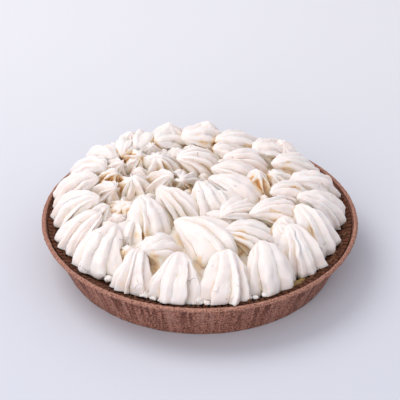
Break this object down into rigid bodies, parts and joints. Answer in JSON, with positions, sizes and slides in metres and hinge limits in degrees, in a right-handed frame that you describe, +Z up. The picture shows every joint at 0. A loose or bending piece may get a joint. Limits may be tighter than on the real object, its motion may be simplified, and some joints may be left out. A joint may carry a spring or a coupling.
{
  "type": "lemon meringue pie",
  "caption": "Whole lemon meringue pie in its round pleated paper baking mould, covered with piped, lightly toasted meringue swirls.",
  "frame": {"origin": "middle of the mould's flat underside, on the table", "axes": "+Z up out of the pie, -Y towards the side that the picture shows in front, +X to that view's right"},
  "size_m": [0.2496, 0.2496, 0.0646],
  "materials": {
    "baking_paper": "matt brown pulp board with fine pleats",
    "baked_pastry": "matt, crumbly, dark baked shortcrust",
    "lemon_curd": "satin set curd",
    "meringue": "matt baked egg white, toasted tan in the valleys"
  },
  "bodies": {
    "root": {"baking_mould": "baking_paper", "pastry_crust": "baked_pastry", "lemon_filling": "lemon_curd", "meringue": "meringue"}
  },
  "joints": []
}
